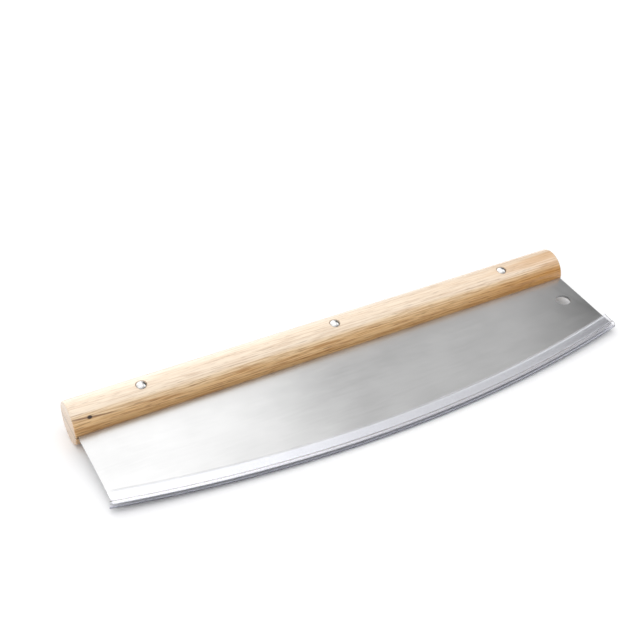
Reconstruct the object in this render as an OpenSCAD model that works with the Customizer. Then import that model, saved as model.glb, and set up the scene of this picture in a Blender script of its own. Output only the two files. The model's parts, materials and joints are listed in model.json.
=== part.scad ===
// Rocking pizza knife lying flat: a round wooden handle in two halves, a wide
// steel blade with a curved edge, three two-piece rivets and a clear guard
// pushed over the edge. X runs along the handle, the edge points to -Y.

/* [Blade] */
// Length of the blade along the handle
blade_length = 350; // [300:1:380]
// Depth of the blade at mid length, from the handle's centre line to the edge
blade_depth = 88; // [75:0.5:100]
// Thickness of the blade sheet
blade_thickness = 1.5; // [1.2:0.1:2.2]
// Radius of the curved cutting edge
edge_radius = 806; // [700:1:1000]
// Height of the ground bevel above the edge
bevel_height = 8; // [2:0.5:8.5]
// Thickness left at the very edge after grinding
edge_land = 0.2; // [0.1:0.05:0.5]
// How far the blade reaches into the handle past its centre line
tang_reach = 6.5; // [5:0.5:8]

/* [Hanging hole] */
// Diameter of the hole
hole_diameter = 10; // [6:0.5:14]
// Distance of its centre from the right end of the blade
hole_inset = 13.6; // [10:0.2:20]
// Distance of its centre from the handle's centre line
hole_drop = 34.3; // [28:0.1:45]

/* [Handle] */
// Diameter of the round handle
handle_diameter = 27; // [25:0.5:32]
// How far each end of the handle stands past the blade
handle_overhang = 1.5; // [1.2:0.1:10]
// Radius on the rim of each end of the handle
end_radius = 1; // [0.4:0.1:2.5]
// Clearance around the blade's rim in the recess of the upper half
recess_clearance = 0.4; // [0.2:0.1:0.8]

/* [Rivets] */
// Distance of the outer rivets from the ends of the handle
rivet_inset = 45.5; // [30:0.5:70]
// Distance of the rivets from the handle's centre line, towards the edge
rivet_drop = 1.2; // [0:0.1:2]
// Diameter of a rivet head
head_diameter = 6.6; // [6.2:0.1:8]
// Height of the straight rim of a head
head_rim = 0.5; // [0.3:0.1:1]
// Rise of the domed top above that rim
head_rise = 1.7; // [1:0.1:1.8]
// Depth of the upper heads' rims below the crown of the handle
pin_head_sink = 0.6; // [0.4:0.1:1.5]
// Depth of the lower heads' rims, whose domes stay within the round of the handle
tube_head_sink = 2; // [1.9:0.1:3]
// Outer diameter of the rivet's tube
tube_diameter = 4.6; // [4.2:0.1:5]
// Diameter of the pin pressed into the tube
pin_diameter = 3; // [2.4:0.1:3.2]
// Length of that pin under its head
pin_length = 14; // [10:0.5:17]
// Radial clearance between the pin and its tube
pin_clearance = 0.05; // [0.03:0.01:0.1]
// Radial clearance around the tube in the wood and the blade
tube_clearance = 0.15; // [0.1:0.05:0.3]
// Radial clearance around a head in its counterbore
head_clearance = 0.2; // [0.1:0.05:0.4]
// Gap between the end of the tube and the opposite head
tube_end_gap = 0.4; // [0.2:0.1:1]

/* [Edge guard] */
// Height of the guard's jaws above the edge
jaw_height = 8.5; // [7.5:0.5:14]
// Wall of each jaw
jaw_wall = 0.95; // [0.8:0.05:1.2]
// Clearance between a jaw and the face of the blade
jaw_clearance = 0.1; // [0.05:0.01:0.2]
// Height of the flared lip at the mouth of the jaws
lip_height = 1.8; // [1:0.1:2.5]
// How far each lip flares outwards
lip_flare = 0.45; // [0.1:0.05:0.8]
// Outer diameter of the hollow bead that covers the edge
bead_diameter = 4.6; // [4.4:0.1:6]
// Wall of that bead
bead_wall = 0.9; // [0.6:0.05:1]
// How far each end of the guard runs past the blade's corner, along the edge
guard_overhang = 1.4; // [0.5:0.1:5]
// Slant of the cut across both ends, in degrees off square
end_slant = 14; // [0:1:20]

/* [Hidden] */
$fn = 64;
// Segments of a full turn at the edge's radius, fine enough for its long arc
ARC_STEPS = 720;
// Extra length that lets one shape cut cleanly through another
CUT = 1;
// Extra degrees that let a swept cut run out past both ends of what it cuts
CUT_ANGLE = 0.5;
handle_radius = handle_diameter / 2;
handle_length = blade_length + 2 * handle_overhang;
half_thickness = blade_thickness / 2;
// The blade's lower face, where the two halves of the handle meet
joint_z = -half_thickness;
bead_radius = bead_diameter / 2;
bead_bore = bead_radius - bead_wall;
slot_half = half_thickness + jaw_clearance;
lip_tip = edge_radius - jaw_height;
lip_start = lip_tip + lip_height;
tip_chamfer = jaw_wall / 3;
// Height of the edge's centre of curvature above the handle's centre line
arc_centre_y = edge_radius - blade_depth;
corner_angle = asin(blade_length / 2 / edge_radius);
guard_angle = corner_angle + guard_overhang / edge_radius * 180 / PI;
rivet_pitch = handle_length / 2 - rivet_inset;
tube_bore = pin_diameter + 2 * pin_clearance;
tube_hole = tube_diameter + 2 * tube_clearance;
head_hole = head_diameter + 2 * head_clearance;
// Distances of the heads' undersides from the handle's centre line
pin_seat = handle_radius - pin_head_sink - head_rim;
tube_seat = handle_radius - tube_head_sink - head_rim;
// Tilt at which the handle and the guard both touch the surface below
tilt = asin((handle_radius - bead_radius) / blade_depth);
guard_reach = edge_radius * sin(guard_angle);
end_lean = tan(end_slant) * cos(guard_angle);
// The left end reaches furthest at its bead, the right one at its bead or lips
left_extra = bead_radius * (end_lean + sin(guard_angle));
right_extra = max(jaw_height * (end_lean - sin(guard_angle)),
                  bead_radius * (sin(guard_angle) - end_lean));
x_low = -max(handle_length / 2, guard_reach + left_extra);
x_high = max(handle_length / 2, guard_reach + right_extra);
y_high = handle_radius;
y_low = -blade_depth * cos(tilt) - bead_radius;

// Lays a piece down from the blade's own plane to its place on the surface
module lay_down() {
    translate([-(x_low + x_high) / 2, -(y_low + y_high) / 2, handle_radius])
        rotate([tilt, 0, 0])
            children();
}

// Sweeps a profile, drawn at its radius, along the arc of the edge to both sides
module sweep_edge(half_angle) {
    translate([0, arc_centre_y, 0])
        rotate([0, 0, -90 - half_angle])
            rotate_extrude(angle = 2 * half_angle, $fn = ARC_STEPS)
                children();
}

module at_rivet(place) {
    translate([place * rivet_pitch, -rivet_drop, 0]) children();
}

// Full-thickness sheet narrowing to the edge land over the bevel
module blade_profile() {
    inner = arc_centre_y - tang_reach - CUT;
    bevel_start = edge_radius - bevel_height;
    polygon([
        [inner, -half_thickness],
        [bevel_start, -half_thickness],
        [edge_radius, -edge_land / 2],
        [edge_radius, edge_land / 2],
        [bevel_start, half_thickness],
        [inner, half_thickness]
    ]);
}

module blade_blank() {
    translate([-blade_length / 2, -blade_depth - CUT, -blade_thickness])
        cube([blade_length, blade_depth + tang_reach + CUT, 2 * blade_thickness]);
}

module blade_in_plane() {
    // The swept sheet reaches past the blank's corners on both sides
    sweep_angle = atan(blade_length / 2 / (arc_centre_y - tang_reach)) + 1;
    difference() {
        intersection() {
            blade_blank();
            sweep_edge(sweep_angle) blade_profile();
        }
        for (place = [-1, 0, 1])
            at_rivet(place)
                cylinder(d = tube_hole, h = 4 * blade_thickness, center = true);
        translate([blade_length / 2 - hole_inset, -hole_drop, 0])
            cylinder(d = hole_diameter, h = 4 * blade_thickness, center = true);
    }
}

// Round stick with a small radius on the rim of both ends
module dowel() {
    straight = handle_length / 2 - end_radius;
    rotate([0, 90, 0])
        rotate_extrude() {
            translate([0, -handle_length / 2])
                square([handle_radius - end_radius, handle_length]);
            translate([0, -straight])
                square([handle_radius, 2 * straight]);
            for (side = [-1, 1])
                translate([handle_radius - end_radius, side * straight])
                    circle(end_radius);
        }
}

// Pocket in the upper half that takes the whole thickness of the blade
module blade_recess() {
    recess_length = blade_length + 2 * recess_clearance;
    translate([-recess_length / 2, -handle_radius - CUT, joint_z - CUT])
        cube([recess_length,
              handle_radius + CUT + tang_reach + recess_clearance,
              blade_thickness + CUT]);
}

// Hole for the tube and counterbore for the head; side 1 is up, -1 is down
module rivet_holes(side) {
    seat = side > 0 ? pin_seat : tube_seat;
    for (place = [-1, 0, 1])
        at_rivet(place) {
            cylinder(d = tube_hole, h = handle_diameter + 2 * CUT, center = true);
            translate([0, 0, side > 0 ? seat : -handle_radius - CUT])
                cylinder(d = head_hole, h = handle_radius + CUT - seat);
        }
}

// Everything above the joint for side 1, everything below it for side -1
module half_space(side) {
    size = handle_length + 2 * CUT;
    translate([-size / 2, -handle_diameter, side > 0 ? joint_z : joint_z - size])
        cube([size, 2 * handle_diameter, size]);
}

// Straight rim under a dome, standing on z = 0
module rivet_head() {
    head_radius = head_diameter / 2;
    dome_radius = (head_radius * head_radius + head_rise * head_rise) / (2 * head_rise);
    rotate_extrude() {
        square([head_radius, head_rim]);
        intersection() {
            translate([0, head_rim]) square([head_radius, head_rise]);
            translate([0, head_rim + head_rise - dome_radius]) circle(dome_radius);
        }
    }
}

// Lower half of a rivet: a head with an open tube that passes through the handle
module rivet_tube(place) {
    tube_length = tube_seat + pin_seat - tube_end_gap;
    color("silver")
        lay_down()
            at_rivet(place)
                translate([0, 0, -tube_seat]) {
                    mirror([0, 0, 1]) rivet_head();
                    difference() {
                        cylinder(d = tube_diameter, h = tube_length);
                        translate([0, 0, tube_length - pin_length - tube_end_gap])
                            cylinder(d = tube_bore, h = pin_length + 2 * CUT);
                    }
                }
}

// Upper half of a rivet: a head with the solid pin pressed into the tube
module rivet_pin(place) {
    color("silver")
        lay_down()
            at_rivet(place)
                translate([0, 0, pin_seat]) {
                    rivet_head();
                    translate([0, 0, -pin_length])
                        cylinder(d = pin_diameter, h = pin_length);
                }
}

// Outside of both jaws, from the bead's centre to the chamfered tips of the lips
module jaw_outside() {
    outer_half = slot_half + jaw_wall;
    tip_half = outer_half + lip_flare;
    polygon([
        [edge_radius, -outer_half],
        [lip_start, -outer_half],
        [lip_tip + tip_chamfer, -tip_half],
        [lip_tip, -tip_half + tip_chamfer],
        [lip_tip, tip_half - tip_chamfer],
        [lip_tip + tip_chamfer, tip_half],
        [lip_start, outer_half],
        [edge_radius, outer_half]
    ]);
}

// Space between the jaws, opening out between the lips
module jaw_slot() {
    tip_half = slot_half + lip_flare;
    polygon([
        [edge_radius, -slot_half],
        [lip_start, -slot_half],
        [lip_tip, -tip_half],
        [lip_tip - CUT, -tip_half],
        [lip_tip - CUT, tip_half],
        [lip_tip, tip_half],
        [lip_start, slot_half],
        [edge_radius, slot_half]
    ]);
}

// Everything past one end of the guard; both ends are cut on the same slant
module past_end(side) {
    size = 5 * jaw_height;
    translate([0, arc_centre_y, 0])
        rotate([0, 0, side * guard_angle])
            translate([0, -edge_radius, 0])
                rotate([0, 0, -end_slant])
                    translate([side > 0 ? 0 : -size, -size / 2, -size / 2])
                        cube(size);
}

// Bead bored for the edge, with two jaws that end in flared lips
module guard_in_plane() {
    strip_angle = guard_angle + CUT_ANGLE;
    bore_angle = guard_angle + 2 * CUT_ANGLE;
    difference() {
        union() {
            sweep_edge(strip_angle) translate([edge_radius, 0]) circle(bead_radius);
            sweep_edge(strip_angle) jaw_outside();
        }
        sweep_edge(bore_angle) jaw_slot();
        sweep_edge(bore_angle) translate([edge_radius, 0]) circle(bead_bore);
        for (side = [-1, 1])
            past_end(side);
    }
}

module blade() {
    color("lightsteelblue") lay_down() blade_in_plane();
}

module upper_scale() {
    color("burlywood")
        lay_down()
            difference() {
                intersection() {
                    dowel();
                    half_space(1);
                }
                blade_recess();
                rivet_holes(1);
            }
}

module lower_scale() {
    color("tan")
        lay_down()
            difference() {
                intersection() {
                    dowel();
                    half_space(-1);
                }
                rivet_holes(-1);
            }
}

module edge_guard() {
    color("lavender") lay_down() guard_in_plane();
}

blade();
upper_scale();
lower_scale();
rivet_tube(-1);  // rivet_tube_left
rivet_tube(0);  // rivet_tube_mid
rivet_tube(1);  // rivet_tube_right
rivet_pin(-1);  // rivet_pin_left
rivet_pin(0);  // rivet_pin_mid
rivet_pin(1);  // rivet_pin_right
edge_guard();
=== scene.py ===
"""Rocking pizza knife: fine meshes, finishes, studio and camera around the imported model."""

import json
import logging
import math
from collections.abc import Sequence
from dataclasses import dataclass
from enum import Enum
from functools import cached_property

import bmesh
import bpy
from bmesh.types import BMEdge, BMesh
from bpy.types import Material, Node, NodeSocket, NodeTree, Object, World
from mathutils import Matrix, Vector


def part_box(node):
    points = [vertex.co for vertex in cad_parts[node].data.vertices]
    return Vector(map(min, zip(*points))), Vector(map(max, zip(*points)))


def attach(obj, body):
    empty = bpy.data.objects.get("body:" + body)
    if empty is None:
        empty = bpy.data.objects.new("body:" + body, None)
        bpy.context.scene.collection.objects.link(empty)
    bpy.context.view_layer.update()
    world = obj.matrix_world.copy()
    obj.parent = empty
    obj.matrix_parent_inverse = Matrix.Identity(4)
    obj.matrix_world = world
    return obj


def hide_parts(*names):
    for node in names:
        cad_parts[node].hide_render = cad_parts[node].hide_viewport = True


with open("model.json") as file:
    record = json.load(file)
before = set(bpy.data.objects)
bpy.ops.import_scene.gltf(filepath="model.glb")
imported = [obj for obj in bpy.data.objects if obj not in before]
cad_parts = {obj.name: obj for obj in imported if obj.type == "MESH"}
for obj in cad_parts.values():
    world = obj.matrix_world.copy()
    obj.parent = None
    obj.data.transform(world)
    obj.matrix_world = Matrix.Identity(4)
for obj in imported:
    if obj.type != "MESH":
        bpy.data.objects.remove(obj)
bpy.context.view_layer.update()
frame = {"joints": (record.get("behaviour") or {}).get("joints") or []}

MM = 0.001
WELD = 1e-7
HOLE_SIDES = 64
LOG = logging.getLogger("pizza_knife")
Source = Node | NodeSocket


class Side(Enum):
    """Which side of the blade's plane a piece is on."""

    UPPER = 1
    LOWER = -1


class Place(Enum):
    """Where a rivet sits along the handle."""

    LEFT = -1
    MID = 0
    RIGHT = 1


def linear(code: str) -> tuple:
    """Turns an sRGB colour into the linear values that Blender's sockets take.

    Args:
        code: The colour as "#RRGGBB".

    Returns:
        Red, green, blue and an alpha of 1.
    """
    channels = [int(code[i:i + 2], 16) / 255 for i in (1, 3, 5)]
    curve = [c / 12.92 if c <= 0.04045 else ((c + 0.055) / 1.055) ** 2.4 for c in channels]
    return (*curve, 1.0)


def wire(node: Node, links: dict | tuple) -> None:
    """Sets or links a node's inputs.

    Args:
        node: The node.
        links: Input name to a value, an sRGB colour, an output socket or another node, which
            stands for its first live output; a tuple fills the live inputs in order.
    """
    if isinstance(links, dict):
        pairs = [(node.inputs[name], value) for name, value in links.items()]
    else:
        pairs = zip([socket for socket in node.inputs if socket.enabled], links)
    for socket, value in pairs:
        if isinstance(value, Node):
            value = next(output for output in value.outputs if output.enabled)
        if isinstance(value, str):
            value = linear(value)
        if isinstance(value, NodeSocket):
            node.id_data.links.new(value, socket)
        else:
            socket.default_value = value


@dataclass(frozen=True)
class Tree:
    """The node tree of a material or of the world."""

    tree: NodeTree

    @cached_property
    def place(self) -> NodeSocket:
        """A material's position on its piece, in metres."""
        return self.add("TexCoord").outputs["Object"]

    @classmethod
    def start(cls, owner: Material | World) -> "Tree":
        """Empties the tree of a material or world."""
        owner.use_nodes = True
        owner.node_tree.nodes.clear()
        return cls(owner.node_tree)

    def add(self, kind: str, links: dict | tuple = (), stops: Sequence = (), **settings) -> Node:
        """Adds one shader node.

        Args:
            kind: Its class name without the "ShaderNode" in front; a Math node's has its
                operation after a dot.
            links: What its inputs get, as wire takes it.
            stops: For a colour ramp, pairs of a position and an sRGB colour or plain level.
            **settings: The node's own properties.

        Returns:
            The new node.
        """
        kind, _, operation = kind.partition(".")
        node = self.tree.nodes.new("ShaderNode" + kind)
        if operation:
            node.operation = operation
        for name, value in settings.items():
            setattr(node, name, value)
        if stops:
            elements = node.color_ramp.elements
            while len(elements) < len(stops):
                elements.new(1.0)
            for element, (position, colour) in zip(elements, stops):
                element.position = position
                element.color = linear(colour) if isinstance(colour, str) else (*[colour] * 3, 1.0)
        wire(node, links)
        return node

    def mm_noise(self, place: Source, along: float, across: float, detail: float = 2.0) -> Node:
        """Noise whose blobs have a real size on the piece.

        Args:
            place: The position in metres that the noise reads.
            along: Length of a blob along X, in millimetres.
            across: Its width along Y and Z, in millimetres.
            detail: Number of finer layers.

        Returns:
            The noise.
        """
        scales = [1 / (size * MM) for size in (along, across, across)]
        scaled = self.add("Mapping", {"Vector": place, "Scale": scales})
        return self.add("TexNoise", {"Vector": scaled, "Scale": 1.0, "Detail": detail})

    def mm_ramp(self, distance: Source, span: float, stops: Sequence) -> Node:
        """A ramp over a real distance.

        Args:
            distance: The distance in metres that the ramp reads.
            span: How far the ramp reaches, in millimetres.
            stops: Pairs of a distance in millimetres and an sRGB colour or plain level.

        Returns:
            The ramp.
        """
        share = self.add("Math.MULTIPLY", (distance, 1 / (span * MM)))
        return self.add("ValToRGB", (share,), [(at / span, colour) for at, colour in stops])


def start_material(name: str) -> tuple:
    """Starts a material.

    Args:
        name: The material's name.

    Returns:
        The material, its tree and its Principled shader.
    """
    material = bpy.data.materials.new(name)
    tree = Tree.start(material)
    shader = tree.add("BsdfPrincipled")
    tree.add("OutputMaterial", {"Surface": shader})
    return material, tree, shader


@dataclass(frozen=True)
class KnifePlane:
    """The blade's own plane, in which every piece is drawn before it is laid down.

    X runs along the handle, Y from the edge to the handle and Z across the blade, with the
    origin at the middle of the handle's centre line.
    """

    tilt: float
    origin: Vector
    handle_radius: float

    @classmethod
    def from_frame(cls) -> "KnifePlane":
        """Reads the tilt from the guard's slide and the handle's place from its box.

        Returns:
            The plane.
        """
        axis = frame["joints"][0]["axis"]
        low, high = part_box("upper_scale")
        radius = high.z / 2
        origin = Vector(((low.x + high.x) / 2, high.y - radius, radius))
        return cls(math.atan2(-axis[2], -axis[1]), origin, radius)

    @property
    def matrix(self) -> Matrix:
        """The matrix from the blade's plane to the surface that the knife lies on."""
        return Matrix.Translation(self.origin) @ Matrix.Rotation(self.tilt, 4, "X")

    @property
    def normal(self) -> Vector:
        """Direction across the blade, pointing up."""
        return self.matrix.to_3x3() @ Vector((0, 0, 1))


@dataclass
class Piece:
    """A mesh piece in the blade's plane, with the CAD nodes that it stands for."""

    name: str
    body: str
    slot: str
    nodes: tuple
    materials: list
    sharp_degrees: float = 30.0
    bevel: float = 0.0
    bevel_segments: int = 2

    def finish(self, shape: BMesh, plane: KnifePlane, cutters: Sequence = ()) -> Object:
        """Turns a bmesh into the finished piece.

        Args:
            shape: The bmesh, in metres in the blade's plane; it is freed here.
            plane: Where the piece is laid down.
            cutters: Closed bmeshes that are taken out of the piece; they are freed here too.

        Returns:
            The object, at the origin, riding on its body.
        """
        piece = self.to_object(self.name, shape)
        for material in self.materials:
            piece.data.materials.append(material)
        for number, cutter in enumerate(cutters):
            self.cut(piece, self.to_object(f"{self.name}_cutter_{number}", cutter))
        piece.data.transform(plane.matrix)
        self.smooth(piece)
        if self.bevel:
            rim = piece.modifiers.new("eased_edges", "BEVEL")
            rim.width = self.bevel
            rim.segments = self.bevel_segments
            rim.limit_method = "ANGLE"
            rim.angle_limit = math.radians(self.sharp_degrees)
            rim.harden_normals = True
        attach(piece, self.body)
        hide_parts(*self.nodes)
        LOG.info("%s: %d faces", self.name, len(piece.data.polygons))
        return piece

    @staticmethod
    def to_object(name: str, shape: BMesh) -> Object:
        """Makes an object of a bmesh, with doubles merged and faces pointing outwards.

        Args:
            name: Name of the object and its mesh.
            shape: The bmesh; it is freed here.

        Returns:
            The object, linked to the scene.
        """
        bmesh.ops.remove_doubles(shape, verts=shape.verts, dist=WELD)
        bmesh.ops.recalc_face_normals(shape, faces=shape.faces)
        mesh = bpy.data.meshes.new(name)
        shape.to_mesh(mesh)
        shape.free()
        made = bpy.data.objects.new(name, mesh)
        bpy.context.scene.collection.objects.link(made)
        return made

    @staticmethod
    def cut(piece: Object, cutter: Object) -> None:
        """Takes the cutter out of the piece and removes the cutter.

        Args:
            piece: The piece to cut.
            cutter: A closed object.
        """
        hole = piece.modifiers.new("cut", "BOOLEAN")
        hole.operation = "DIFFERENCE"
        hole.solver = "EXACT"
        hole.object = cutter
        graph = bpy.context.evaluated_depsgraph_get()
        result = bpy.data.meshes.new_from_object(piece.evaluated_get(graph))
        piece.modifiers.clear()
        piece.data = result
        result.name = piece.name
        bpy.data.objects.remove(cutter)

    def smooth(self, piece: Object) -> None:
        """Shades the piece smooth, apart from edges that turn by more than the sharp angle.

        Args:
            piece: The piece, already laid down.
        """
        shape = bmesh.new()
        shape.from_mesh(piece.data)
        limit = math.radians(self.sharp_degrees)
        for face in shape.faces:
            face.smooth = True
        for edge in shape.edges:
            edge.smooth = edge.calc_face_angle(math.pi) < limit
        shape.to_mesh(piece.data)
        shape.free()


def revolve(points: list, axis: Vector, centre: Vector, angle: float, steps: int) -> BMesh:
    """Sweeps an outline round an axis.

    Args:
        points: The outline's points; for less than a full turn it closes on itself.
        axis: Direction of the axis.
        centre: A point on the axis.
        angle: How far to turn, in radians.
        steps: Number of steps of the turn.

    Returns:
        A closed bmesh.
    """
    shape = bmesh.new()
    full = math.isclose(angle, 2 * math.pi)
    verts = [shape.verts.new(point) for point in points]
    pairs = list(zip(verts, verts[1:]))
    if not full:
        pairs.append((verts[-1], verts[0]))
    edges = [shape.edges.new(pair) for pair in pairs]
    bmesh.ops.spin(shape, geom=verts + edges, cent=centre, axis=axis, angle=angle, steps=steps,
                   use_merge=full, use_normal_flip=False, use_duplicate=False)
    bmesh.ops.remove_doubles(shape, verts=shape.verts, dist=WELD)
    rims = [edge for edge in shape.edges if edge.is_boundary]
    if rims:
        bmesh.ops.edgenet_fill(shape, edges=rims)
    return shape


def trim(shape: BMesh, point: Vector, normal: Vector) -> None:
    """Cuts away what lies beyond a plane and closes the cut.

    Args:
        shape: The closed bmesh to cut.
        point: A point on the plane.
        normal: The plane's direction, pointing to the part that goes.
    """
    geometry = shape.verts[:] + shape.edges[:] + shape.faces[:]
    cut = bmesh.ops.bisect_plane(shape, geom=geometry, dist=WELD, plane_co=point, plane_no=normal,
                                 clear_outer=True)
    rim = [item for item in cut["geom_cut"] if isinstance(item, BMEdge)]
    bmesh.ops.edgenet_fill(shape, edges=rim)


def arc_points(centre: tuple, radius: float, start: float, end: float, steps: int) -> list:
    """Points along an arc in a profile.

    Args:
        centre: The arc's centre, as two numbers.
        radius: Its radius.
        start: Its first angle, in degrees.
        end: Its last angle, in degrees.
        steps: Number of steps between the two.

    Returns:
        Pairs of numbers, both ends included.
    """
    angles = [math.radians(start + (end - start) * i / steps) for i in range(steps + 1)]
    return [(centre[0] + radius * math.cos(a), centre[1] + radius * math.sin(a)) for a in angles]


def cylinder(radius: float, low: float, high: float, spot: Vector) -> BMesh:
    """A closed cylinder across the blade's plane.

    Args:
        radius: Its radius.
        low: Height of its lower end above the plane.
        high: Height of its upper end.
        spot: Where its axis meets the plane.

    Returns:
        The bmesh.
    """
    shape = bmesh.new()
    place = Matrix.Translation((spot.x, spot.y, (low + high) / 2))
    bmesh.ops.create_cone(shape, cap_ends=True, segments=HOLE_SIDES, radius1=radius, radius2=radius,
                          depth=high - low, matrix=place)
    return shape


def block(low: tuple, high: tuple) -> BMesh:
    """A closed box.

    Args:
        low: Its lowest corner.
        high: Its highest corner.

    Returns:
        The bmesh.
    """
    shape = bmesh.new()
    sizes = [b - a for a, b in zip(low, high)]
    middle = [(a + b) / 2 for a, b in zip(low, high)]
    place = Matrix.Translation(middle) @ Matrix.Diagonal((*sizes, 1.0))
    bmesh.ops.create_cube(shape, size=1.0, matrix=place)
    return shape


@dataclass(frozen=True)
class OakFinish:
    """Pale European oak, turned, sanded and oiled; all its sizes are in millimetres.

    Ring-porous wood: open pores gather in each year's early growth and draw fine dark dashes
    along the grain, while the late growth between them is smooth and lighter. The stave was
    sawn with its rings nearly level, so they show as close lines on the sides of the stick
    and as a broad, quiet figure on its crown. Over the wood's own tone, the crown carries a
    painted highlight and the sides and underside carry painted shade, and the grain is drawn
    fainter under the painted highlight. The right end is the warmest. Real pores and streaks
    are 0.2 to 0.3 mm wide; they are drawn coarser, so that a picture of the whole knife still shows them.
    """

    # Tones from the crown down: the wood's own tone with a painted highlight on the crown and painted shade
    # down the sides and underside.
    painted_lit_crown: str = "#F2E0C9"
    painted_half_lit_wood: str = "#F0D6B0"
    painted_shaded_side: str = "#E8BF88"
    painted_deep_shade: str = "#D6AB72"
    warm: str = "#CC9348"
    line: str = "#AC7330"
    line_strength: float = 0.8
    pore: str = "#764818"
    end_grain: str = "#BAA892"
    sawn_wood: str = "#D4C0A6"
    scorch: str = "#6A3F1C"
    knot: str = "#2A1408"
    stick_length: float = 353.0
    stick_diameter: float = 27.0
    warm_from: float = 70.0
    warm_to: float = 165.0
    knot_spot: tuple = (-166.0, -10.9, 7.95)
    other_stave: tuple = (140.0, 7.0, 11.0)
    ring_spacing: float = 1.5
    pith: tuple = (0.0, 26.0, -75.0)
    slope: tuple = (0.0, 0.006, 0.012)
    wander: float = 1.5
    ring_drift: tuple = (120.0, 9.0)
    tone_drift: tuple = (90.0, 5.0)
    warm_bands: tuple = (70.0, 3.0)
    year_breaks: tuple = (30.0, 1.2)
    speck_size: float = 0.8
    streak_length: float = 30.0
    streak_width: float = 0.75
    pore_length: float = 8.0
    pore_width: float = 0.55
    pore_depth: float = 0.08
    roughness: float = 0.38
    pore_roughness: float = 0.25

    def build(self, side: Side, plane: KnifePlane, joint: float) -> Material:
        """Makes the material of one half of the handle.

        Args:
            side: Which half; only the upper one has the pin knot.
            plane: The blade's plane.
            joint: How far the joint between the halves lies under the plane, in metres.

        Returns:
            The material.
        """
        material, tree, shader = start_material(f"oiled_oak_{side.name.lower()}")
        shift = (0.0, 0.0, 0.0) if side is Side.UPPER else self.other_stave
        moved = tree.add("Mapping", (tree.place, [s * MM for s in shift], self.slope))
        height = tree.add("SeparateXYZ", (tree.place,)).outputs["Z"]
        height = tree.add("Math.MULTIPLY", (height, 1 / (self.stick_diameter * MM)))
        rings = self.rings(tree, moved)
        pores = self.pores(tree, moved, rings)
        colour = self.colour(tree, moved, height)
        colour = self.streaks(tree, moved, height, rings, pores, colour)
        relief = tree.add("Math.MULTIPLY", (pores, -1.0))
        if side is Side.UPPER:
            colour, pit = self.add_knot(tree, colour, plane.origin + Vector(self.knot_spot) * MM)
            relief = tree.add("Math.SUBTRACT", (relief, pit))
        colour = self.add_ends(tree, colour)
        colour = self.add_joint(tree, colour, plane.origin - plane.normal * joint, plane.normal)
        rough = tree.add("Math.MULTIPLY_ADD", (pores, self.pore_roughness, self.roughness))
        bump = tree.add("Bump", {"Height": relief, "Strength": 0.4, "Distance": self.pore_depth * MM})
        wire(shader, {"Base Color": colour, "Roughness": rough, "Normal": bump, "IOR": 1.5,
                      "Coat Weight": 0.8, "Coat Roughness": 0.2})
        return material

    def rings(self, tree: Tree, moved: Source) -> Node:
        """Year rings round a pith below the stick.

        Args:
            tree: The material's nodes.
            moved: The position that the figure reads.

        Returns:
            Place within the year, from 0 in early growth to 1 in late growth.
        """
        pith = [p * MM for p in self.pith]
        centred = tree.add("VectorMath.SUBTRACT", (moved, pith))
        flat = tree.add("VectorMath.MULTIPLY", (centred, (0.0, 1.0, 1.0)))
        distance = tree.add("VectorMath.LENGTH", (flat,))
        drift = tree.mm_noise(moved, *self.ring_drift)
        drift = tree.add("Math.MULTIPLY", (drift, self.wander))
        turns = tree.add("Math.MULTIPLY_ADD", (distance, 1 / (self.ring_spacing * MM), drift))
        return tree.add("Math.FRACT", (turns,))

    def pores(self, tree: Tree, moved: Source, rings: Source) -> Node:
        """Open pores: thin dashes along the grain, dense where each ring begins.

        Args:
            tree: The material's nodes.
            moved: The position that the figure reads.
            rings: Place within the year, from 0 to 1.

        Returns:
            The pores' mask.
        """
        dashes = tree.mm_noise(moved, self.pore_length, self.pore_width, 1.0)
        early = tree.add("ValToRGB", (rings,), [(0.0, 0.4), (0.1, 1.0), (0.4, 0.4), (1.0, 0.4)])
        lines = tree.add("ValToRGB", (dashes,), [(0.56, 0.0), (0.68, 1.0)])
        return tree.add("Math.MULTIPLY", (early, lines))

    def colour(self, tree: Tree, moved: Source, height: Source) -> Node:
        """Painted highlight on the crown and painted shade down the sides, warmer towards the right end.

        Args:
            tree: The material's nodes.
            moved: The position that the figure reads.
            height: Height in the stick, from 0 at its underside to 1 at its crown.

        Returns:
            The wood's ground colour, with the painted crown highlight and painted side shade.
        """
        drift = tree.mm_noise(moved, *self.tone_drift, 3.0)
        drift = tree.add("Math.MULTIPLY_ADD", (drift, 0.16, -0.08))
        level = tree.add("Math.ADD", (height, drift))
        # The ground tone is set by height: a painted highlight on the crown and painted shade down the sides
        # and underside, over the wood's own tone.
        ground = tree.add("ValToRGB", (level,),
                          [(0.52, self.painted_deep_shade), (0.68, self.painted_shaded_side),
                           (0.82, self.painted_half_lit_wood), (0.9, self.painted_lit_crown)])
        along = tree.add("SeparateXYZ", (tree.place,)).outputs["X"]
        towards_end = tree.add("MapRange", {"Value": along, "From Min": self.warm_from * MM,
                                            "From Max": self.warm_to * MM, "To Max": 0.95})
        bands = tree.mm_noise(moved, *self.warm_bands)
        bands = tree.add("ValToRGB", (bands,), [(0.42, 0.1), (0.58, 0.55)])
        # The right end's warmth falls on the warm bands and on the sides below the painted crown highlight.
        sides = tree.add("ValToRGB", (level,), [(0.7, 1.0), (0.86, 0.0)])
        warmth = tree.add("Math.MAXIMUM", (bands, sides))
        warmth = tree.add("Math.MULTIPLY", (warmth, towards_end))
        return tree.add("Mix", (warmth, ground, self.warm), data_type="RGBA")

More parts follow.
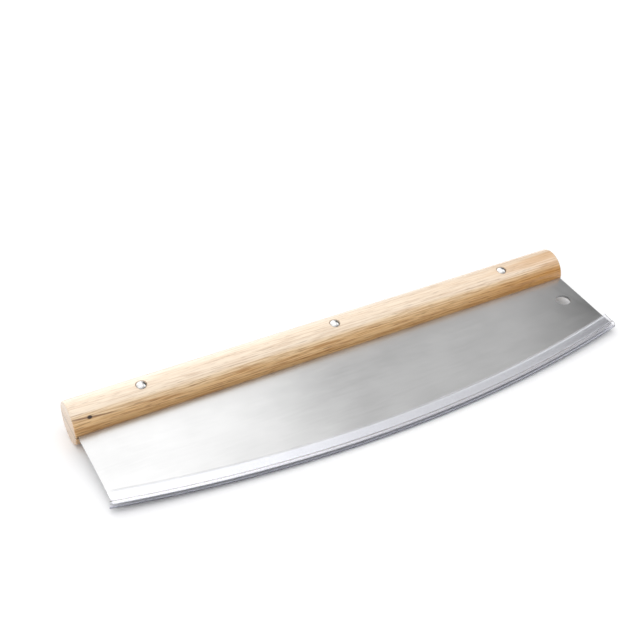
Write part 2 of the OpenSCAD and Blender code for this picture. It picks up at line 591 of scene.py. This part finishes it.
    def streaks(self, tree: Tree, moved: Source, height: Source, rings: Source, pores: Source,
                colour: Source) -> Node:
        """Draws the grain over the ground colour, faint on the crown under the painted highlight and plain
        on the sides.

        Args:
            tree: The material's nodes.
            moved: The position that the figure reads.
            height: Height in the stick, from 0 to 1.
            rings: Place within the year ring, from 0 to 1.
            pores: The pores' mask.
            colour: The ground colour.

        Returns:
            The colour with its year lines, fine streaks and pores.
        """
        # The grain and pores are drawn fainter towards the crown, as part of the painted crown highlight.
        plain = tree.add("ValToRGB", (height,), [(0.5, 1.0), (0.74, 1.0), (0.88, 0.5), (0.95, 0.38)])
        early = tree.add("ValToRGB", (rings,),
                         [(0.0, 0.5), (0.08, 1.0), (0.3, 0.25), (0.6, 0.0), (1.0, 0.5)])
        broken = tree.mm_noise(moved, *self.year_breaks)
        broken = tree.add("ValToRGB", (broken,), [(0.4, 0.15), (0.62, 1.0)])
        years = tree.add("Math.MULTIPLY", (early, broken))
        fine = tree.mm_noise(moved, self.streak_length, self.streak_width, 3.0)
        fine = tree.add("ValToRGB", (fine,), [(0.48, 0.0), (0.6, 0.9)])
        lines = tree.add("Math.MAXIMUM", (years, fine))
        lines = tree.add("Math.MULTIPLY", (lines, plain))
        lines = tree.add("Math.MULTIPLY", (lines, self.line_strength))
        drawn = tree.add("Mix", (lines, colour, self.line), data_type="RGBA")
        dark = tree.add("Math.MULTIPLY_ADD", (plain, 0.6, 0.15))
        dark = tree.add("Math.MULTIPLY", (pores, dark))
        return tree.add("Mix", (dark, drawn, self.pore), data_type="RGBA")

    def add_knot(self, tree: Tree, colour: Source, centre: Vector) -> tuple:
        """Adds the pin knot with the dark streak that the grain draws from it.

        Args:
            tree: The material's nodes.
            colour: The wood's colour so far.
            centre: Centre of the knot, in metres.

        Returns:
            The colour with the knot, and the depth of its pit from 0 to 1.
        """
        gap = tree.add("VectorMath.SUBTRACT", (tree.place, centre))
        near = tree.add("VectorMath.MULTIPLY", (gap, (0.7, 1.0, 1.0)))
        near = tree.add("VectorMath.LENGTH", (near,))
        core = tree.mm_ramp(near, 4.0, [(0.8, 1.0), (1.24, 0.0)])
        far = tree.add("Mapping", {"Vector": gap, "Rotation": (0.0, -0.08, 0.06)})
        far = tree.add("VectorMath.MULTIPLY", (far, (0.03, 1.0, 1.0)))
        far = tree.add("VectorMath.LENGTH", (far,))
        streak = tree.mm_ramp(far, 0.8, [(0.16, 0.8), (0.4, 0.5), (0.72, 0.0)])
        drawn = tree.add("Mix", (streak, colour, self.scorch), data_type="RGBA")
        return tree.add("Mix", (core, drawn, self.knot), data_type="RGBA"), core

    def add_ends(self, tree: Tree, colour: Source) -> Node:
        """Greys the sawn ends, where the grain is cut across and drinks the oil.

        Args:
            tree: The material's nodes.
            colour: The wood's colour so far.

        Returns:
            The colour with the ends.
        """
        along = tree.add("SeparateXYZ", (tree.place,)).outputs["X"]
        reach = tree.add("Math.ABSOLUTE", (along,))
        end = self.stick_length / 2
        ends = tree.mm_ramp(reach, 200.0, [(end - 0.2, 0.0), (end + 0.02, 1.0)])
        sawn = tree.mm_noise(tree.place, self.speck_size, self.speck_size)
        sawn = tree.add("ValToRGB", (sawn,), [(0.35, self.end_grain), (0.7, self.sawn_wood)])
        return tree.add("Mix", (ends, colour, sawn), data_type="RGBA")

    def add_joint(self, tree: Tree, colour: Source, point: Vector, normal: Vector) -> Node:
        """Darkens the hairline where the two halves meet.

        Args:
            tree: The material's nodes.
            colour: The wood's colour so far.
            point: A point on the joint.
            normal: The joint's direction.

        Returns:
            The colour with the hairline.
        """
        gap = tree.add("VectorMath.SUBTRACT", (tree.place, point))
        height = tree.add("VectorMath.DOT_PRODUCT", (gap, normal))
        away = tree.add("Math.ABSOLUTE", (height,))
        line = tree.mm_ramp(away, 1.0, [(0.2, 0.85), (0.55, 0.0)])
        return tree.add("Mix", (line, colour, self.knot), data_type="RGBA")


@dataclass(frozen=True)
class SatinSteelFinish:
    """Cold-rolled stainless sheet with a satin finish; sizes in millimetres.

    The rolls leave fine lines along the sheet and a faint cloudiness. So the tone drifts over
    the blade, and reflections are soft and drawn out across the lines, which takes the handle's
    mirror image away. Real rolling lines are under 0.1 mm wide and are drawn coarser, to show.
    """

    tone: str = "#C9C9C9"
    roughness: float = 0.19
    stretch: float = 0.75
    line_length: float = 28.0
    line_width: float = 0.6
    line_depth: float = 0.01
    cloud_size: float = 22.0

    def build(self) -> Material:
        """Makes the material and returns it."""
        material, tree, shader = start_material("satin_stainless_sheet")
        clouds = tree.mm_noise(tree.place, self.cloud_size * 1.6, self.cloud_size, 4.0)
        lines = tree.mm_noise(tree.place, self.line_length, self.line_width)
        soft = tree.add("ValToRGB", (clouds,), [(0.3, self.roughness - 0.02), (0.7, self.roughness + 0.02)])
        rough = tree.add("Math.MULTIPLY_ADD", (lines, 0.04, soft))
        drawn = tree.add("Math.MULTIPLY", (clouds, 0.75))
        drawn = tree.add("Math.MULTIPLY_ADD", (lines, 0.25, drawn))
        tint = tree.add("ValToRGB", (drawn,), [(0.34, 0.89), (0.64, 1.0)])
        colour = tree.add("Mix", (1.0, self.tone, tint), data_type="RGBA", blend_type="MULTIPLY")
        bump = tree.add("Bump", {"Height": lines, "Strength": 0.12, "Distance": self.line_depth * MM})
        across = tree.add("CombineXYZ", {"Y": 1.0})
        wire(shader, {"Base Color": colour, "Roughness": rough, "Normal": bump, "Tangent": across,
                      "Anisotropic": self.stretch, "Metallic": 1.0})
        return material


@dataclass(frozen=True)
class GroundSteelFinish:
    """The same steel where a belt has ground the bevel: brighter, with scratches across the edge.

    A fine belt's scratches are about 0.05 mm wide and are drawn coarser; sizes in millimetres.
    """

    tone: str = "#E8E9EA"
    roughness: float = 0.2
    scratch_length: float = 6.0
    scratch_width: float = 0.18
    scratch_depth: float = 0.01

    def build(self) -> Material:
        """Makes the material and returns it."""
        material, tree, shader = start_material("belt_ground_stainless")
        scratches = tree.mm_noise(tree.place, self.scratch_width, self.scratch_length)
        rough = tree.add("Math.MULTIPLY_ADD", (scratches, 0.08, self.roughness))
        bump = tree.add("Bump", {"Height": scratches, "Strength": 0.08, "Distance": self.scratch_depth * MM})
        wire(shader, {"Base Color": self.tone, "Roughness": rough, "Normal": bump, "Metallic": 1.0})
        return material


@dataclass(frozen=True)
class NickelFinish:
    """Nickel-plated steel, barrel polished: a near mirror with a few scuffs; sizes in mm."""

    tone: str = "#DAD9D8"
    roughness: float = 0.1
    scuff_size: float = 1.1

    def build(self) -> Material:
        """Makes the material and returns it."""
        material, tree, shader = start_material("polished_nickel_plate")
        scuffs = tree.mm_noise(tree.place, self.scuff_size, self.scuff_size, 4.0)
        rough = tree.add("ValToRGB", (scuffs,), [(0.45, self.roughness), (0.75, self.roughness + 0.12)])
        wire(shader, {"Base Color": self.tone, "Roughness": rough, "Metallic": 1.0})
        return material


@dataclass(frozen=True)
class ClearVinylFinish:
    """Clear soft PVC, extruded: a violet-blue tint where it is thick, painted grey-blue shade on the bead,
    and lines along the strip.

    The thin jaws let the steel's brightness through. The bead's outer, lower side is painted
    a grey-blue that deepens downwards: painted shade for the shaded gap under the blade that
    shows through the bead. Its sizes are in millimetres.
    """

    tone: str = "#FCFCFE"
    # Grey-blue painted shade on the bead, and the slant along which it deepens towards the outer, lower
    # side.
    bead_painted_shade_tone: str = "#8F93A8"
    bead_lean: float = math.radians(40)
    clearness: float = 0.98
    depth_tone: str = "#B3B6D9"
    density: float = 42.0
    roughness: float = 0.06
    refraction: float = 1.5
    cloud_size: tuple = (12.0, 6.0)
    line_spacing: float = 0.5
    line_depth: float = 0.02

    def build(self, arc_centre: Vector, edge_radius: float, normal: Vector) -> Material:
        """Makes the material.

        Args:
            arc_centre: Centre of the edge's arc, in metres.
            edge_radius: The arc's radius, in metres.
            normal: Direction across the blade.

        Returns:
            The material.
        """
        material, tree, shader = start_material("clear_extruded_vinyl")
        arm = tree.add("VectorMath.SUBTRACT", (tree.place, arc_centre))
        spoke = tree.add("VectorMath.LENGTH", (arm,))
        above = tree.add("VectorMath.DOT_PRODUCT", (arm, normal))
        beyond = tree.add("Math.SUBTRACT", (spoke, edge_radius))
        beyond = tree.add("Math.MULTIPLY", (beyond, math.cos(self.bead_lean)))
        lower = tree.add("Math.MULTIPLY_ADD", (above, -math.sin(self.bead_lean), beyond))
        # Paints grey-blue shade over the bead's outer, lower side, for the shaded gap under the blade seen
        # through it.
        painted_bead_shade = tree.mm_ramp(lower, 4.0, [(1.36, self.tone), (2.32, self.bead_painted_shade_tone)])
        turns = tree.add("Math.MULTIPLY", (spoke, 1 / (self.line_spacing * MM)))
        waves = tree.add("TexNoise", {"W": turns, "Scale": 1.0, "Detail": 2.0}, noise_dimensions="1D")
        bump = tree.add("Bump", {"Height": waves, "Strength": 0.2, "Distance": self.line_depth * MM})
        clouds = tree.mm_noise(tree.place, *self.cloud_size, 3.0)
        rough = tree.add("ValToRGB", (clouds,), [(0.35, self.roughness), (0.75, self.roughness + 0.06)])
        wire(shader, {"Base Color": painted_bead_shade, "Roughness": rough, "Normal": bump, "IOR": self.refraction,
                      "Transmission Weight": self.clearness})
        depth = tree.add("VolumeAbsorption", {"Color": self.depth_tone, "Density": self.density})
        wire(shader.outputs[0].links[0].to_node, {"Volume": depth})
        return material


@dataclass
class Blade:
    """The blade: a sheet swept round the edge's centre and trimmed to its straight sides."""

    plane: KnifePlane
    length: float = 350 * MM
    depth: float = 88 * MM
    thickness: float = 1.5 * MM
    edge_radius: float = 806 * MM
    bevel_height: float = 8 * MM
    edge_land: float = 0.2 * MM
    tang_reach: float = 6.5 * MM
    hole_radius: float = 5 * MM
    hole_inset: float = 13.6 * MM
    hole_drop: float = 34.3 * MM
    rivet_pitch: float = 131 * MM
    rivet_drop: float = 1.2 * MM
    rivet_hole_radius: float = 2.45 * MM
    eased: float = 0.12 * MM
    spare_turn: float = math.radians(0.5)
    steps: int = 180

    @property
    def arc_centre(self) -> Vector:
        """Centre of the edge's arc, in the blade's plane."""
        return Vector((0.0, self.edge_radius - self.depth, 0.0))

    @property
    def corner_angle(self) -> float:
        """Angle from the middle of the edge to its corner, seen from the arc's centre."""
        return math.asin(self.length / 2 / self.edge_radius)

    def rivet_spot(self, place: Place) -> Vector:
        """Where a rivet passes through the blade's plane."""
        return Vector((place.value * self.rivet_pitch, -self.rivet_drop))

    def profile(self) -> list:
        """The sheet's section.

        Returns:
            Points along its flat faces and the bevel down to the edge.
        """
        half, land = self.thickness / 2, self.edge_land / 2
        inner = self.edge_radius - self.depth - self.tang_reach - MM
        shoulder = self.edge_radius - self.bevel_height
        centre = self.arc_centre.y
        outline = [(inner, half), (shoulder, half), (self.edge_radius, land),
                   (self.edge_radius, -land), (shoulder, -half), (inner, -half)]
        return [Vector((0.0, centre - radius, z)) for radius, z in outline]

    def build(self, steel: Material, ground: Material) -> Object:
        """Makes the blade.

        Args:
            steel: Finish of the flat sheet.
            ground: Finish of the bevel.

        Returns:
            The blade's object.
        """
        inner_reach = self.arc_centre.y - self.tang_reach
        half_turn = math.atan(self.length / 2 / inner_reach) + self.spare_turn
        start = Matrix.Rotation(-half_turn, 3, "Z")
        centre = self.arc_centre
        points = [centre + start @ (point - centre) for point in self.profile()]
        shape = revolve(points, Vector((0, 0, 1)), centre, 2 * half_turn, self.steps)
        half = self.length / 2
        trim(shape, Vector((half, 0, 0)), Vector((1, 0, 0)))
        trim(shape, Vector((-half, 0, 0)), Vector((-1, 0, 0)))
        trim(shape, Vector((0, self.tang_reach, 0)), Vector((0, 1, 0)))
        shoulder = self.edge_radius - self.bevel_height
        for face in shape.faces:
            middle = face.calc_center_median() - centre
            face.material_index = 1 if math.hypot(middle.x, middle.y) > shoulder else 0
        reach = 2 * self.thickness
        holes = [cylinder(self.rivet_hole_radius, -reach, reach, self.rivet_spot(place)) for place in Place]
        hanger = Vector((half - self.hole_inset, -self.hole_drop))
        holes.append(cylinder(self.hole_radius, -reach, reach, hanger))
        piece = Piece("blade_sheet", "knife", "blade_steel", ("blade",), [steel, ground],
                      sharp_degrees=5.0, bevel=self.eased)
        return piece.finish(shape, self.plane, holes)


@dataclass
class Handle:
    """The round oak handle in two halves, bored and counterbored for the rivets."""

    plane: KnifePlane
    blade: Blade
    overhang: float = 1.5 * MM
    end_radius: float = 1.0 * MM
    recess_clearance: float = 0.4 * MM
    head_hole_radius: float = 3.5 * MM
    pin_seat: float = 12.4 * MM
    tube_seat: float = 11.0 * MM
    eased: float = 0.2 * MM
    steps: int = 144
    rim_steps: int = 6

    def seat(self, side: Side) -> float:
        """Height of the counterbores' floors above the blade's plane, or below it."""
        return self.pin_seat if side is Side.UPPER else self.tube_seat

    def outline(self) -> list:
        """Half of the stick's lengthwise section, with rounded rims.

        Returns:
            Points from the axis at the left end to the axis at the right end.
        """
        reach = self.blade.length / 2 + self.overhang
        radius = self.plane.handle_radius
        rim = radius - self.end_radius
        right = arc_points((reach - self.end_radius, rim), self.end_radius, 90, 0, self.rim_steps)
        left = [(-x, r) for x, r in reversed(right)]
        points = [(-reach, 0.0)] + left + right + [(reach, 0.0)]
        return [Vector((x, 0.0, r)) for x, r in points]

    def build(self, side: Side, wood: Material) -> Object:
        """Makes one half of the handle.

        Args:
            side: Which half.
            wood: Its finish.

        Returns:
            The half's object.
        """
        blade, radius = self.blade, self.plane.handle_radius
        shape = revolve(self.outline(), Vector((1, 0, 0)), Vector(), 2 * math.pi, self.steps)
        joint = -blade.thickness / 2
        trim(shape, Vector((0, 0, joint)), Vector((0, 0, -side.value)))
        cutters = []
        for place in Place:
            spot = blade.rivet_spot(place)
            low, high = sorted((side.value * self.seat(side), side.value * (radius + MM)))
            cutters.append(cylinder(self.head_hole_radius, low, high, spot))
            cutters.append(cylinder(blade.rivet_hole_radius, -radius, radius, spot))
        if side is Side.UPPER:
            reach = blade.length / 2 + self.recess_clearance
            back = blade.tang_reach + self.recess_clearance
            cutters.append(block((-reach, -radius - MM, joint - MM), (reach, back, -joint)))
        name = f"{side.name.lower()}_scale"
        piece = Piece(name + "_wood", "knife", "handle_wood", (name,), [wood], bevel=self.eased)
        return piece.finish(shape, self.plane, cutters)


@dataclass
class Rivet:
    """A two-piece rivet: a headed tube from below and a headed pin pressed in from above."""

    plane: KnifePlane
    handle: Handle
    place: Place
    head_radius: float = 3.3 * MM
    head_rim: float = 0.5 * MM
    head_rise: float = 1.7 * MM
    tube_radius: float = 2.3 * MM
    bore_radius: float = 1.55 * MM
    pin_radius: float = 1.5 * MM
    pin_length: float = 14.0 * MM
    end_gap: float = 0.4 * MM
    rim_round: float = 0.12 * MM
    rim_break: float = math.radians(2)
    steps: int = 72
    dome_steps: int = 12

    def head(self) -> list:
        """Half of the head's section.

        Returns:
            Radius and height from its rim's foot up over the dome to the axis.
        """
        rise, radius = self.head_rise, self.head_radius
        dome = (radius * radius + rise * rise) / (2 * rise)
        centre = self.head_rim + rise - dome
        edge = math.degrees(math.acos(radius / dome) + self.rim_break)
        crown = arc_points((0.0, centre), dome, edge, 90.0, self.dome_steps)
        crown[-1] = (0.0, self.head_rim + rise)
        return [(radius - self.rim_round, 0.0), (radius, self.rim_round),
                (radius, self.head_rim - self.rim_round)] + crown

    def build(self, side: Side, metal: Material) -> Object:
        """Makes the half of the rivet whose head is on that side.

        Args:
            side: The side of the head.
            metal: Its finish.

        Returns:
            The half rivet's object.
        """
        seat = self.handle.seat(side)
        if side is Side.UPPER:
            stem = [(0.0, -self.pin_length), (self.pin_radius, -self.pin_length), (self.pin_radius, 0.0)]
            kind = "pin"
        else:
            end = -(seat + self.handle.pin_seat - self.end_gap)
            bottom = end + self.pin_length + self.end_gap
            stem = [(0.0, bottom), (self.bore_radius, bottom), (self.bore_radius, end),
                    (self.tube_radius, end), (self.tube_radius, 0.0)]
            kind = "tube"
        spot = self.handle.blade.rivet_spot(self.place)
        points = [Vector((spot.x + r, spot.y, side.value * (seat + z))) for r, z in stem + self.head()]
        shape = revolve(points, Vector((0, 0, 1)), spot.to_3d(), 2 * math.pi, self.steps)
        name = f"rivet_{kind}_{self.place.name.lower()}"
        piece = Piece(name + "_metal", "knife", "rivet_steel", (name,), [metal], sharp_degrees=35.0)
        return piece.finish(shape, self.plane)


@dataclass
class EdgeGuard:
    """The clear guard: an extruded strip with two jaws, flared lips and a hollow bead."""

    plane: KnifePlane
    blade: Blade
    jaw_height: float = 8.5 * MM
    jaw_wall: float = 0.95 * MM
    jaw_clearance: float = 0.1 * MM
    lip_height: float = 1.8 * MM
    lip_flare: float = 0.45 * MM
    bead_radius: float = 2.3 * MM
    bead_wall: float = 0.9 * MM
    overhang: float = 1.4 * MM
    end_slant: float = math.radians(14)
    steps: int = 320
    bead_steps: int = 40
    bore_steps: int = 28
    tip_steps: int = 6

    def half_profile(self) -> tuple:
        """The outside and inside of the section above the blade, from the bead's crown to the lip.

        Returns:
            The outer points, the rounded tip's points and the inner points, as pairs of
            the distance beyond the edge and the height above the blade's middle.
        """
        slot = self.blade.thickness / 2 + self.jaw_clearance
        outer = slot + self.jaw_wall
        bore = self.bead_radius - self.bead_wall
        crease = 180 - math.degrees(math.asin(outer / self.bead_radius))
        outside = arc_points((0, 0), self.bead_radius, 0, crease, self.bead_steps)
        bend = self.lip_height - self.jaw_height
        outside.append((bend, outer))
        radius = self.jaw_wall / 2
        tip_centre = (radius - self.jaw_height, slot + self.lip_flare + radius)
        slope = math.degrees(math.atan2(self.lip_flare, self.lip_height - radius))
        tip = arc_points(tip_centre, radius, 90 - slope, 270 - slope, self.tip_steps)
        mouth = 180 - math.degrees(math.asin(slot / bore))
        inside = [(bend, slot)] + arc_points((0, 0), bore, mouth, 0, self.bore_steps)
        return outside, tip, inside

    def profile(self) -> list:
        """The whole section as one closed outline, mirrored about the blade's middle.

        Returns:
            Pairs of the distance beyond the edge and the height above the blade's middle.
        """
        outside, tip, inside = self.half_profile()
        upper = outside[1:] + tip + inside
        lower = [(x, -z) for x, z in reversed(upper)]
        return upper + lower[1:] + [outside[0]]

    def cut_end(self, shape: BMesh, side: int) -> None:
        """Cuts one end of the strip; both ends have the same slant.

        Args:
            shape: The swept strip.
            side: 1 for the right end, -1 for the left one.
        """
        blade = self.blade
        angle = side * (blade.corner_angle + self.overhang / blade.edge_radius)
        turn = Matrix.Rotation(angle, 3, "Z")
        point = blade.arc_centre + turn @ Vector((0.0, -blade.edge_radius, 0.0))
        outwards = turn @ Matrix.Rotation(-self.end_slant, 3, "Z") @ Vector((side, 0.0, 0.0))
        trim(shape, point, outwards)

    def build(self, vinyl: Material) -> Object:
        """Makes the guard.

        Args:
            vinyl: Its finish.

        Returns:
            The guard's object.
        """
        blade = self.blade
        centre = blade.arc_centre
        half_turn = blade.corner_angle + (self.overhang + self.jaw_height) / blade.edge_radius
        start = Matrix.Rotation(-half_turn, 3, "Z")
        arms = [Vector((0.0, -blade.edge_radius - beyond, z)) for beyond, z in self.profile()]
        points = [centre + start @ arm for arm in arms]
        shape = revolve(points, Vector((0, 0, 1)), centre, 2 * half_turn, self.steps)
        for side in (-1, 1):
            self.cut_end(shape, side)
        piece = Piece("edge_guard_strip", "guard", "guard_plastic", ("edge_guard",), [vinyl],
                      sharp_degrees=28.0)
        return piece.finish(shape, self.plane)


@dataclass
class Studio:
    """Pale floor, soft lamp, surroundings and the camera at the photograph's viewing angle.

    Sizes are in metres, and the camera's aim in millimetres from the handle's middle. The
    levels of wall and roof run from the left to the right.
    """

    plane: KnifePlane
    floor_size: float = 14.0
    floor_tone: str = "#ECECED"
    floor_lift: float = 0.08
    focal_pixels: float = 1096.0
    frame_pixels: float = 640.0
    sensor: float = 36.0
    distance: float = 0.7483
    clip_start: float = 0.01
    yaw: float = math.radians(28.56)
    pitch: float = math.radians(33.40)
    roll: float = math.radians(-0.79)
    aim: tuple = (12.8, 40.13, -13.5)
    lamp_place: tuple = (1.1, -0.3, 0.9)
    lamp_size: float = 0.9
    lamp_power: float = 1.5
    tent_strength: float = 2.0
    panel_level: float = 0.6
    panel_towards: tuple = (-0.39, -0.73, 0.56)
    panel_angles: tuple = (14.0, 26.0)
    port_angles: tuple = (3.0, 6.0)
    wall_levels: tuple = ((0.0, 0.45), (0.2, 0.6), (0.35, 0.93), (0.63, 0.93), (0.665, 0.72),
                          (0.6825, 0.6), (0.6925, 0.44), (0.7, 0.36), (0.73, 0.4), (0.745, 0.38),
                          (0.765, 0.37), (0.785, 0.37), (0.7925, 0.25), (0.8, 0.06))
    roof_levels: tuple = ((0.0, 0.6), (0.5, 0.84), (0.67, 0.8), (0.69, 0.56), (0.75, 0.46),
                          (0.8, 0.42), (1.0, 0.42))

    def camera(self) -> None:
        """Stands the camera where the photograph was taken from, aimed relative to the handle."""
        lens = bpy.data.cameras.new("camera")
        lens.sensor_width = self.sensor
        lens.lens = self.focal_pixels / self.frame_pixels * self.sensor
        lens.clip_start = self.clip_start
        camera = bpy.data.objects.new("camera", lens)
        turn = (Matrix.Rotation(-self.yaw, 4, "Z") @ Matrix.Rotation(math.pi / 2 - self.pitch, 4, "X")
                @ Matrix.Rotation(self.roll, 4, "Z"))
        target = self.plane.origin + Vector(self.aim) * MM
        back = Matrix.Translation((0.0, 0.0, self.distance))
        camera.matrix_world = Matrix.Translation(target) @ turn @ back
        bpy.context.scene.collection.objects.link(camera)
        bpy.context.scene.camera = camera

    def floor(self) -> None:
        """Lays the floor, lifted to white where the camera, metal or plastic sees it."""
        shape = bmesh.new()
        bmesh.ops.create_grid(shape, x_segments=1, y_segments=1, size=self.floor_size / 2)
        floor = Piece.to_object("floor", shape)
        material = bpy.data.materials.new("matt_paper")
        tree = Tree.start(material)
        paper = tree.add("BsdfDiffuse", {"Color": self.floor_tone})
        rays = tree.add("LightPath").outputs
        seen = tree.add("Math.MAXIMUM", (rays["Is Camera Ray"], rays["Is Glossy Ray"]))
        seen = tree.add("Math.MAXIMUM", (seen, rays["Is Transmission Ray"]))
        lift = tree.add("Math.MULTIPLY", (seen, self.floor_lift))
        lift = tree.add("Emission", {"Strength": lift})
        both = tree.add("AddShader", (paper, lift))
        tree.add("OutputMaterial", {"Surface": both})
        floor.data.materials.append(material)

    def tent(self, tree: Tree, ray: NodeSocket) -> Node:
        """How bright the tent is: a wall behind that greys to the right, and a roof overhead.

        The blade mirrors the wall, and the tilted bevel and the rivets mirror the roof. In
        front the tent is dim, so the handle's front stays darker than its crown, and low at both
        sides a dim skirt draws the dark wedges on the rivets' domes.

        Args:
            tree: The world's nodes.
            ray: The direction socket.

        Returns:
            The level, where 1 is as bright as the tent gets.
        """
        across, depth, height = tree.add("SeparateXYZ", (ray,)).outputs
        sideways = tree.add("Math.MULTIPLY_ADD", (across, 0.5, 0.5))
        wall = tree.add("ValToRGB", (sideways,), self.wall_levels)
        behind = tree.add("ValToRGB", (depth,), [(0.0, 0.35), (0.3, 1.0)])
        wall = tree.add("Math.MULTIPLY", (wall, behind))
        roof = tree.add("ValToRGB", (sideways,), self.roof_levels)
        front = tree.add("Math.MULTIPLY_ADD", (depth, 0.5, 0.5))
        front = tree.add("ValToRGB", (front,), [(0.075, 0.3), (0.3, 1.0)])
        roof = tree.add("Math.MULTIPLY", (roof, front))
        rise = tree.add("Math.MULTIPLY_ADD", (depth, -1.2, height))
        rise = tree.add("Math.MULTIPLY_ADD", (rise, 0.3, 0.5))
        overhead = tree.add("ValToRGB", (rise,), [(0.59, 0.0), (0.614, 1.0)])
        tent = tree.add("Mix", (overhead, wall, roof), data_type="FLOAT")
        aside = tree.add("Math.ABSOLUTE", (across,))
        aside = tree.add("ValToRGB", (aside,), [(0.45, 0.0), (0.75, 1.0)])
        skirt = tree.add("ValToRGB", (height,), [(0.1, 0.2), (0.35, 1.0)])
        skirt = tree.add("Mix", (aside, 1.0, skirt), data_type="FLOAT")
        return tree.add("Math.MULTIPLY", (tent, skirt))

    def patch(self, tree: Tree, ray: NodeSocket, inner: float, outer: float) -> Node:
        """A round patch of the surroundings where the front panel hangs, with a soft rim.

        Args:
            tree: The world's nodes.
            ray: The direction socket.
            inner: Angle from its middle up to which it is full, in degrees.
            outer: Angle at which it ends, in degrees.

        Returns:
            1 inside the patch and 0 outside.
        """
        aim = Vector(self.panel_towards).normalized()
        cosine = tree.add("VectorMath.DOT_PRODUCT", (ray, aim))
        edge = {"Value": cosine, "From Min": math.cos(math.radians(outer)),
                "From Max": math.cos(math.radians(inner))}
        return tree.add("MapRange", edge, interpolation_type="SMOOTHSTEP")

    def surroundings(self) -> None:
        """A white tent with a front panel; the camera sees it as plain white.

        The rivets' domes mirror the panel, with the dark port that the camera looks through.
        """
        world = bpy.data.worlds.new("studio")
        tree = Tree.start(world)
        ray = tree.add("TexCoord").outputs["Generated"]
        panel = self.patch(tree, ray, *self.panel_angles)
        port = self.patch(tree, ray, *self.port_angles)
        panel = tree.add("Math.SUBTRACT", (panel, port))
        panel = tree.add("Math.MULTIPLY", (panel, self.panel_level))
        level = tree.add("Math.MAXIMUM", (self.tent(tree, ray), panel))
        seen = tree.add("LightPath").outputs["Is Camera Ray"]
        white = tree.add("Math.MULTIPLY", (seen, 1 / self.tent_strength))
        level = tree.add("Math.MAXIMUM", (level, white))
        level = tree.add("Math.MULTIPLY", (level, self.tent_strength))
        sky = tree.add("Background", {"Color": "#FFFFFF", "Strength": level})
        tree.add("OutputWorld", {"Surface": sky})
        bpy.context.scene.world = world

    def lamp(self) -> None:
        """Hangs the square soft lamp, which points at the knife from the right."""
        data = bpy.data.lights.new("softbox_right", "AREA")
        data.size = self.lamp_size
        data.energy = self.lamp_power
        lamp = bpy.data.objects.new("softbox_right", data)
        place = Vector(self.lamp_place)
        lamp.matrix_world = Matrix.Translation(place) @ place.to_track_quat("Z", "Y").to_matrix().to_4x4()
        bpy.context.scene.collection.objects.link(lamp)

    def build(self) -> None:
        """Builds the whole studio."""
        self.floor()
        self.surroundings()
        self.lamp()
        self.camera()
        bpy.context.scene.view_settings.view_transform = "Standard"


def main() -> None:
    """Builds the knife piece by piece, then the studio."""
    logging.basicConfig(level=logging.INFO, format="%(name)s: %(message)s")
    plane = KnifePlane.from_frame()
    steel = SatinSteelFinish().build()
    ground = GroundSteelFinish().build()
    nickel = NickelFinish().build()
    oak = OakFinish()
    blade = Blade(plane)
    blade.build(steel, ground)
    handle = Handle(plane, blade)
    for side in Side:
        handle.build(side, oak.build(side, plane, blade.thickness / 2))
    for place in Place:
        rivet = Rivet(plane, handle, place)
        for side in Side:
            rivet.build(side, nickel)
    arc_centre = plane.matrix @ blade.arc_centre
    vinyl = ClearVinylFinish().build(arc_centre, blade.edge_radius, plane.normal)
    EdgeGuard(plane, blade).build(vinyl)
    Studio(plane).build()


if __name__ == "__main__":
    main()
